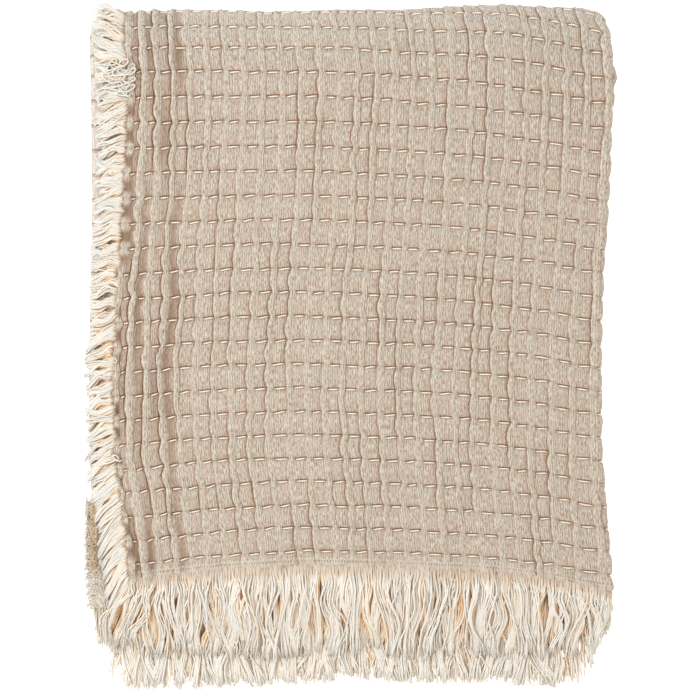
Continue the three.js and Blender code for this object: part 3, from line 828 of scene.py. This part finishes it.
def make_end_fringe(name, tiers, seed, finish, count):
    """Threads in loose locks, flat and close together at the hem, rounder and wavy below it. Each
    has count points."""
    chance = np.random.default_rng(seed)
    draw = chance.uniform
    strands, depths = [], []
    t = np.linspace(0, 1, count)
    for tier in tiers:
        u, u_end = tier["across"]
        while u < u_end - 1:
            wide = min(tier["lock"] * draw(0.45, 1.6), u_end - u)
            middle = u + wide / 2
            centre = place([middle], [0.0], [0.0])[0]
            fan = -23 * (1 - ease(middle / 28)) if tier["top"] else 0.0
            drift = fan + tier["drift"] * np.clip(chance.normal(), -1.6, 1.6) * ease(middle / 20)
            drift = drift if centre[0] < 205 else -1.5 - 0.4 * abs(drift)
            tip_y = column(tier["tips"], centre[0] + drift, 1) + abs(chance.normal(0, tier["ragged"]))
            long = max(10.0, centre[1] - tip_y)
            sway, phase, waves = draw(1.0, 3.8), draw(0, CIRCLE), draw(0.6, 1.5)
            hook = tier["hook"] * chance.normal() * (1 - ease((centre[0] - 195) / 10))
            rise = tier["lift"] * draw(0, 1)
            narrow, flare = draw(0.4, 0.78), draw(0.7, 1.25)
            twist = draw(-1.3, 1.3)
            # painted shade: how deep the lock's tier lies, a little different for each lock, fading out at
            # the right end
            depth_shade = tier["depth_shade"] * (1 - ease((centre[0] - 196) / 8)) + chance.normal(0, 0.09)
            closer = 1 + 0.8 * (1 - ease(middle / 30)) if tier["top"] else 1.0
            number = max(4, int(round(wide / tier["spacing"] * closer)))
            dropped = HEM_Y + SHIFT_Y - centre[1]
            for i in range(number):
                at = u + wide * (i + draw(0, 1)) / number
                layer = draw(-1, 1)
                stray = chance.normal(0, 3.5) if draw() < tier["loose"] else 0.0
                own = long * draw(0.9, 1.0)
                # the threads leave the weave a few at a time, a little before or after the hem
                hold = draw(0.6, HEM_HOLD)
                out = (own + hold) * t - hold
                v = np.maximum(-out, -0.4)
                s_at = np.interp(at, U_KNOTS, S_KNOTS)
                on_cloth = relief(np.full(count, s_at), row_of(np.maximum(v, 0.0)))[0]
                freed = ease((out + 2.5) / 5)
                face = CLOTH / 2 + on_cloth + tier["sunk"]
                root = place(np.full(count, at), v, face + (0.3 + 0.7 * layer) * freed)
                free = np.clip(out / own, 0, 1)
                half = (at - middle) / (wide / 2)
                angle = twist * free
                across = half * np.cos(angle) - 0.4 * layer * np.sin(angle)
                through = half * np.sin(angle) * 0.5 + layer * np.cos(angle)
                gathered = ease((out - 5) / (0.4 * own))
                squeeze = (1 - (1 - narrow) * gathered) * (1 + (flare - 1) * ease((free - 0.6) / 0.4))
                x = centre[0] + across * wide / 2 * squeeze + root[:, 0] - root[-1, 0]
                # next to the hem they stand in small bunches with slits between them
                bunch = (np.floor(at / 2.6) + 0.5) * 2.6 - at
                x = x + 0.4 * bunch * ease((out + 1) / 3) * (1 - gathered)
                bend = np.sin(phase + CIRCLE * waves * free)
                x = x + drift * ease(free) + sway * ease(free / 0.25) * bend
                x = x + hook * ease((free - 0.6) / 0.4) + stray * ease((free - 0.1) / 0.8)
                ripple = draw(0, CIRCLE) + draw(2, 4) * CIRCLE * free
                x = x + 0.4 * ease(free / 0.2) * np.sin(ripple)
                x = x + tier["wisp"] * chance.normal() * ease((free - 0.3) / 0.7) ** 2
                y = np.where(out > 0, root[-1, 1] - np.maximum(out, 0) + 0.4, root[:, 1])
                start = np.interp(dropped, FALL_Y, FALL_Z)
                fall = (np.interp(out + dropped, FALL_Y, FALL_Z) - start) / (1 - start)
                fall = np.maximum(fall, 0)
                z = root[:, 2] * (1 - fall) + tier["tip_z"] * fall
                z = z + (rise + 1.7 * through + 0.5 * abs(stray)) * ease(free / 0.25) * (1 - 0.3 * fall)
                size = draw(0.85, 1.15) * (1 - 0.3 * ease((t - 0.88) / 0.12))
                strands.append(np.column_stack([x, y, np.maximum(z, 0.8), size]))
                # painted shade on the underside and at the sides of each lock
                deep = depth_shade + 0.32 * (1 - through) / 2 + 0.42 * np.abs(across) ** 3
                deep = deep + 0.1 * draw(-1, 1)
                # painted shade at the hem, fading over the first few millimetres out
                at_root = tier["depth_shade"] + draw(0.1, 0.8)
                deep = at_root + (deep - at_root) * ease(out / 9)
                # painted shade where the tier lies covered by the one above
                covered = tier["covered"] * (1 - ease((out + dropped - tier["shows_from"]) / 14))
                depths.append(np.clip(np.maximum(deep, covered), 0, 1))
            u += wide
        for end in weft_ends(chance, tier):
            strands.append(end)
            # the frayed weft ends take the deep colour, a painted shade between the locks
            depths.append(np.full(len(end), 0.85))
    return yarn(name, strands, END_YARN, finish, depths)


# v, how far the side threads are combed down, their reach, and how far they arch up
COMBED = np.array([
    (-1, 2.6, 16, 0), (4, 1.9, 17, 0), (30, 1.5, 18, 0), (70, 1.1, 21, 0), (120, 0.6, 23, 0),
    (200, 0.35, 22, 0), (290, 0.2, 22, 0), (350, 0.3, 23, 0), (375, 0.45, 25, 0), (392, 0.15, 25, 0),
    (410, -0.2, 25, 0.02), (430, -0.38, 26, 0.03), (446, -0.3, 25, 0.06), (458, -0.1, 24, 0.06),
    (475, 0.05, 22, 0.06), (490, 0.15, 20, 0.06), (520, 0.3, 18, 0),
], float)
# v, how far right of the edge, and the radius of loose curls in the side threads
CURLS = np.array([
    (403, 1, 4.4), (398, -4, 4.0), (394, 2, 3.4), (408, -6, 4.8), (389, -5, 3.8), (411, 1, 3.8),
    (400, 4, 3.4), (405, -10, 5.4), (394, -12, 4.8), (414, -3, 4.6), (397, -8, 3.2), (407, 3, 3.6),
    (402, -15, 5.0), (391, -2, 3.0), (412, -12, 5.0), (100, 1, 3.0), (178, 0, 2.4),
], float)


def curl(draw, v, right, radius):
    """A loose loop of thread whose end trails to the left, and how deep it lies."""
    x, y, z = place([2.0], [v], [CLOTH / 2 + 1.0])[0]
    begin = draw(0, 360)
    turn = np.radians(np.linspace(begin, begin - draw(220, 380), 13))
    tilt, long, short = draw(-0.9, 0.9), radius * draw(1.0, 1.5), radius * 0.62
    open_by = np.linspace(-0.5, 1.0, 13) * radius * 0.5
    ring_x = long * np.cos(turn) * math.cos(tilt) - short * np.sin(turn) * math.sin(tilt) - open_by
    ring_y = long * np.cos(turn) * math.sin(tilt) + short * np.sin(turn) * math.cos(tilt)
    tail = np.linspace(0, 1, 6)[1:]
    away = np.array([ring_x[-1] - ring_x[-2], ring_y[-1] - ring_y[-2]])
    away = away / np.linalg.norm(away) * 3
    xs = np.r_[ring_x, ring_x[-1] + away[0] * tail * (1 - tail) - tail * draw(10, 20)]
    ys = np.r_[ring_y, ring_y[-1] + away[1] * tail * (1 - tail) - tail * draw(-5, 7)]
    zs = z + 2.2 + 1.2 * np.sin(np.linspace(0, 4, len(xs)) + v)
    # painted shade that comes and goes along the loop
    depth = np.clip(0.12 + 0.3 * np.sin(np.linspace(0, 9, len(xs)) + v), 0, 1)
    return np.column_stack([x + right + xs, y + ys, zs, np.full_like(xs, 1.05)]), depth


def make_side_fringe(finish):
    """Short threads in small locks, combed down or up, with a tangle of loops near the top."""
    chance = np.random.default_rng(41)
    draw = chance.uniform
    strands, depths = [], []
    count = 9
    t = np.linspace(0, 1, count)

    def run_of(v_from, v_to, spacing, on_top, under=0.0):
        v = v_from
        while v < v_to:
            wide = draw(2.5, 8)
            lean, reach, arch = (column(COMBED, v, i) for i in (1, 2, 3))
            if not on_top:
                lean, reach, arch = 0.0, 17.0, 0.0
            lean = lean + chance.normal(0, 0.17 * (1 - under))
            reach = reach * draw(0.88, 1.07) * (1 - 0.12 * under)
            bow = arch + np.clip(chance.normal(0, 0.11), -0.2, 0.12)
            wave, phase = draw(0.4, 2.1), draw(0, CIRCLE)
            narrow = draw(0.45, 0.95)
            lift = draw(0, 1.6) * (1 - under)
            # painted shade: deeper for the layer underneath, a little different for each lock
            depth_shade = 0.06 + chance.normal(0, 0.08) + 0.4 * under
            # the locks leave the cloth's edge unevenly
            start = 1.0 + draw(-0.5, 1.5) + 0.7 * gather.at(v / 3, 4)
            # where they are combed down they would part, so they lie closer
            number = max(3, int(round(wide / spacing * (1 + 0.35 * min(lean, 1.5) ** 2))))
            for i in range(number):
                at = v + wide * (i + draw(0, 1)) / number
                layer = draw(-1, 1)
                own = reach * draw(0.86, 1.0)
                # between the rows they puff out over the plain band beside them
                puff = between_rows(row_of(at)) * (1 - under) if on_top and at > FIRST_ROW else 0.0
                begin = start + 1.5 * puff + draw(-0.7, 0.7)
                root = place([begin], [at], [CLOTH / 2 - 1.1 + 0.7 * layer - 1.2 * under])[0]
                x = root[0] - (own + begin) * t
                side = (at - v - wide / 2) * (narrow - 1) * ease(t / 0.8)
                y = root[1] - lean * own * t ** 1.3 + side + bow * own * np.sin(math.pi * t)
                y = y + wave * np.sin(phase + 7 * t) * ease(t / 0.4)
                y = y + 0.4 * np.sin(draw(0, CIRCLE) + 9 * t) * ease(t / 0.3)
                droop = draw(1.0, 4.0) if on_top else 1.0
                z = root[2] + (lift + 0.9 * layer) * np.sin(math.pi * t * 0.9) - droop * t ** 2
                z = z + 1.5 * puff * np.sin(math.pi * t ** 0.5)
                size = draw(0.85, 1.15) * (1 - 0.3 * ease((t - 0.8) / 0.2))
                strands.append(np.column_stack([x, y, np.maximum(z, 0.7), size]))
                off = abs(at - v - wide / 2) / (wide / 2)
                # painted shade on the underside and edges of each lock and near the root, fading towards
                # the tips; the threads beside the lower folds lie in shade throughout
                deep = depth_shade + 0.22 * (1 - layer) + 0.42 * off ** 2.5 + 0.14 * draw(-1, 1)
                deep = deep + 0.2 * (1 - ease(t / 0.3))
                deep = deep * (1 - 0.45 * ease((t - 0.4) / 0.6)) if on_top else np.full(count, 0.6)
                depths.append(np.clip(deep, 0, 1))
            v += wide

    run_of(-1.0, SAG_END + 2, 0.42, True)
    run_of(-1.0, SAG_END + 2, 0.8, True, under=1.0)
    run_of(415, SAG_END + 2, 0.75, True)
    run_of(372, 402, 0.8, True)
    run_of(FLOOR_START + 6, FLOOR_END - 4, 1.35, False)
    run_of(UNDER_START + 4, CLOTH_LENGTH - 4, 1.35, False)
    for loop in CURLS:
        strand, depth = curl(draw, *loop)
        strands.append(strand)
        depths.append(depth)
    return yarn("side_threads", strands, SIDE_YARN, finish, depths)


def make_fold_tufts(finish):
    """Worn yarn ends where the lower folds show beside the fringe, near the end: a roll of short
    fibres, and below it a few threads that hang from the fold's corner."""
    chance = np.random.default_rng(61)
    draw = chance.uniform
    strands, depths = [], []
    turn = np.linspace(0, 1, 6)
    edge_x = LEFT_X + SHIFT_X
    for y in np.linspace(-214, -126, TUFT_FIBRES):
        at_end = ease((-178 - y) / 14)
        across = draw(0, 1) ** (1 - 0.25 * at_end)
        x = edge_x - 4.5 + (9.5 + 5.5 * at_end) * across + 2.5 * ease((-203 - y) / 8) * (0.6 - across)
        z = draw(30, 44) if x < edge_x - 0.5 else 44.6 + draw(-0.6, 0.9)
        long = draw(2.2, 4.4)
        heading = math.pi + chance.normal(0, 0.55 + 0.5 * at_end)
        bend = heading + turn * chance.normal(0, 1.1)
        points = [
            x + long * turn * np.cos(bend), y + long * turn * np.sin(bend),
            z + draw(0, 0.9) * np.sin(math.pi * turn) - 1.5 * turn ** 2,
            draw(0.5, 0.8) * (1 - 0.4 * turn ** 3),
        ]
        strands.append(np.column_stack(points))
        # painted shade: the roll lies in the shade of the side fringe, deepest on its inner side, lighter
        # at the end and towards each fibre's tip
        deep = 0.9 - 0.5 * at_end - 0.7 * ease((0.45 - across) / 0.4) * (1 - 0.6 * at_end)
        deep = deep + 0.15 * draw(-1, 1)
        depths.append(np.clip(deep - 0.35 * turn, 0, 1))
    for _ in range(TUFT_THREADS):
        x, y = draw(-208.5, -196.0), draw(-211, -200)
        tip = column(LOW_TIPS, x + 1, 1) + draw(0, 8)
        away = chance.normal(1.5, 1.2)
        points = [
            x + away * turn + 0.8 * np.sin(draw(0, CIRCLE) + 5 * turn), y + (tip - y) * turn,
            44.5 + draw(-1.5, 1.5) - 26 * ease(turn / 1.1), 1.15 - 0.35 * turn ** 3,
        ]
        strands.append(np.column_stack(points))
        depths.append(np.clip(draw(0.15, 0.75) - 0.3 * turn, 0, 1))
    return yarn("fold_tufts", strands, TUFT_YARN, finish, depths)


def make_hidden_fringes(finish):
    """The fringes that are folded away inside the pile, bent with the cloth."""
    chance = np.random.default_rng(51)
    t = np.linspace(0, 1, 6)
    fringes = []
    for edge, reach in ((CLOTH_WIDTH, END_THREADS), (CLOTH_LENGTH, SIDE_THREADS)):
        strands = []
        for at in np.arange(4, edge - 3, HIDDEN_PITCH):
            out = reach * chance.uniform(0.88, 1.0) * t
            at = at + chance.normal(0, 1.5) * t
            n = np.full_like(t, chance.uniform(-1, 1))
            u, v = (at, CLOTH_LENGTH + out) if reach == END_THREADS else (CLOTH_WIDTH + out, at)
            points = place(u, v, n)
            points[:, 2] = np.maximum(points[:, 2], 0.8)
            strands.append(np.column_stack([points, np.ones_like(t)]))
        fringes.append(strands)
    return (
        yarn("inside_end_threads", fringes[0], END_YARN, finish),
        yarn("inside_side_threads", fringes[1], END_YARN, finish),
    )


gauze = gauze_finish()
thread = yarn_finish("stitching_yarn")
end_yarn = yarn_finish("end_yarn")
lower_yarn = yarn_finish("lower_yarn")
side_yarn = yarn_finish("side_yarn")
tuft_yarn = yarn_finish("tuft_yarn")

cloth = make_cloth(gauze)
stitches = make_stitches(thread)
# The tiers of the end fringe. They grow from the part of the hem across, in locks so wide and with
# such spacing of threads. The locks drift sideways, end raggedly round the tips, lift off what is
# below and hook at their ends. A share of the threads is loose, all are wisps to a degree, and weft
# counts the frayed ends between them. They start sunk in the cloth's face and end at the height
# tip_z. Colour runs from cream to golden, a painted shade, with how deep the tier lies, a little
# different for each lock, and with how covered it is up to where the tier shows.
on_top = dict(
    across=(0.6, PANEL_END + ROUND_FOLD), lock=10.0, spacing=0.52, drift=4.5, tips=TOP_TIPS, ragged=7.0,
    lift=1.5, tip_z=7.0, top=True, depth_shade=0.06, covered=0.0, shows_from=0.0, weft=16, loose=0.06,
    wisp=0.6, hook=2.8, sunk=-0.5,
)
over_it = dict(
    on_top, lock=8.0, spacing=1.15, drift=6.5, ragged=8.0, lift=4.5, depth_shade=-0.1, weft=0, loose=0.2,
    wisp=1.2, sunk=-0.1,
)
behind = dict(
    on_top, lock=5.0, spacing=0.95, drift=2.0, lift=-2.5, depth_shade=0.62, weft=0, loose=0.0, sunk=-0.9,
)
lower = dict(
    across=(PANEL_END + ROUND_FOLD, LOWER_END - 1), lock=9.0, spacing=0.68, drift=3.0, tips=LOW_TIPS,
    ragged=3.0, lift=1.5, tip_z=2.0, top=False, depth_shade=0.0, covered=0.75, shows_from=46.0, weft=0,
    loose=0.08, wisp=1.2, hook=4.2, sunk=-0.9,
)
inner = dict(lower, across=(INNER_START + 3, CLOTH_WIDTH - 2), tip_z=4.0, lift=2.0)
filling = dict(lower, lock=3.0, spacing=0.78, drift=4.0, ragged=5.0, tip_z=1.0, lift=0.0, depth_shade=0.3)
end_threads = make_end_fringe("end_threads", [behind, on_top, over_it], 31, end_yarn, 12)
under_it = dict(filling, across=inner["across"], spacing=1.7, drift=2.0)
lower_threads = make_end_fringe(
    "lower_end_threads", [lower, inner, filling, under_it], 32, lower_yarn, 11,
)
side_threads = make_side_fringe(side_yarn)
tufts = make_fold_tufts(tuft_yarn)
inside_end, inside_side = make_hidden_fringes(end_yarn)

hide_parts("cloth")
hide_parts("end_fringe")
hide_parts("side_fringe")
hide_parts("inside_end_fringe")
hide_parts("inside_side_fringe")

# Stage

scene = bpy.context.scene
scene.view_settings.view_transform = "Standard"

camera = add_object("camera", bpy.data.cameras.new("camera"))
# the photo's width in pixels and a pixel's size, and the camera's distance and sensor
PHOTO_WIDE, PIXEL = 700, 0.82
DISTANCE, SENSOR = 8.0, 36
camera.data.sensor_width = SENSOR
camera.data.lens = SENSOR * DISTANCE / (PHOTO_WIDE * PIXEL * MM)
# a little off the middle, as the throw lies in the photo's frame
camera.location = (-0.4 * MM + SHIFT_X * MM, -2.0 * MM + SHIFT_Y * MM, PILE * MM + DISTANCE)
camera.rotation_euler = (0, 0, 0)
scene.camera = camera

floor = add_object("floor", grid("floor", 1, 1, 4.0))
paper = Finish("white_paper")
paper.look({
    "Base Color": (0.9, 0.9, 0.9, 1), "Roughness": 0.9, "Emission Color": (1, 1, 1, 1),
    "Emission Strength": 0.8,
})
floor.data.materials.append(paper.material)


def soft_light(name, place_at, look_at, size, power, colour):
    lamp = bpy.data.lights.new(name, "AREA")
    lamp.shape, lamp.size, lamp.size_y = "RECTANGLE", size[0], size[1]
    lamp.energy, lamp.color = power, colour
    holder = add_object(name, lamp)
    holder.location = place_at
    holder.rotation_euler = (Vector(look_at) - Vector(place_at)).to_track_quat("-Z", "Y").to_euler()


soft_light("key", (-1.15, 0.3, 1.9), (0, 0, 0), (1.0, 1.0), 40, (0.97, 0.99, 1.0))
soft_light("fill", (1.3, -0.8, 2.0), (0, 0, 0), (2.0, 2.0), 14, (1.0, 0.95, 0.88))
soft_light("front", (0.0, -2.4, 1.0), (0, -0.2, 0), (1.5, 1.0), 3.5, (1.0, 0.97, 0.93))
soft_light("window", (0.2, 2.4, 0.9), (0, 0.2, 0), (1.5, 1.0), 9, (0.25, 0.7, 1.0))
world = bpy.data.worlds.new("studio")
world.use_nodes = True
world.node_tree.nodes["Background"].inputs[0].default_value = (1, 0.93, 0.84, 1)
world.node_tree.nodes["Background"].inputs[1].default_value = 0.55
scene.world = world

bpy.context.view_layer.update()
